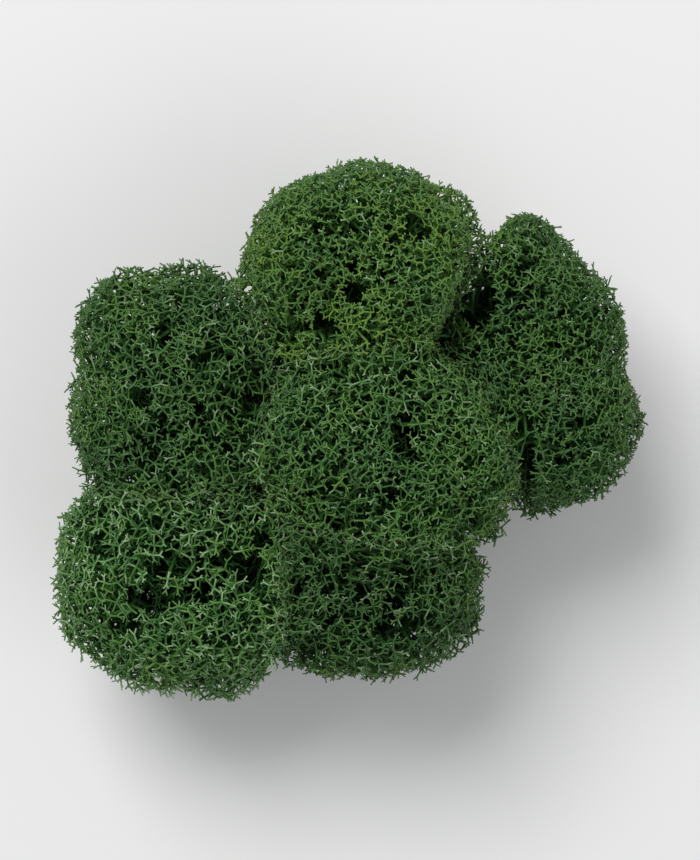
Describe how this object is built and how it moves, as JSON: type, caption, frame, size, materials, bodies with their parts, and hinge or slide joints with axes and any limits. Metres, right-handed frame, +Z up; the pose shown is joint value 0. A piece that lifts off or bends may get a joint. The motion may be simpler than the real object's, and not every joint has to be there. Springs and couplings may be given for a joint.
{
  "type": "reindeer moss clump",
  "caption": "Clump of preserved, green-dyed reindeer lichen: rounded tufts of finely forked twigs on narrow feet, cut flat below.",
  "frame": {"origin": "on the surface that the clump stands on, under the middle of its outline", "axes": "+Z up from the cut feet to the heads; +Y towards the tallest tuft at the clump's top edge; +X towards the long tuft at its right edge"},
  "size_m": [0.096, 0.0882, 0.0539],
  "materials": {
    "lichen_top": "matt, dyed yellow-green, finely forked twigs",
    "lichen_left": "matt, dyed mid green, finely forked twigs",
    "lichen_middle": "matt, dyed mid green, finely forked twigs",
    "lichen_lower_left": "matt, dyed pale grey-green, coarse open twigs",
    "lichen_lower_right": "matt, dyed dark green, finely forked twigs",
    "lichen_right": "matt, dyed mid green, finely forked twigs"
  },
  "bodies": {
    "root": {"tuft_top": "lichen_top", "tuft_left": "lichen_left", "tuft_middle": "lichen_middle", "tuft_lower_left": "lichen_lower_left", "tuft_lower_right": "lichen_lower_right", "tuft_right": "lichen_right"}
  },
  "joints": []
}
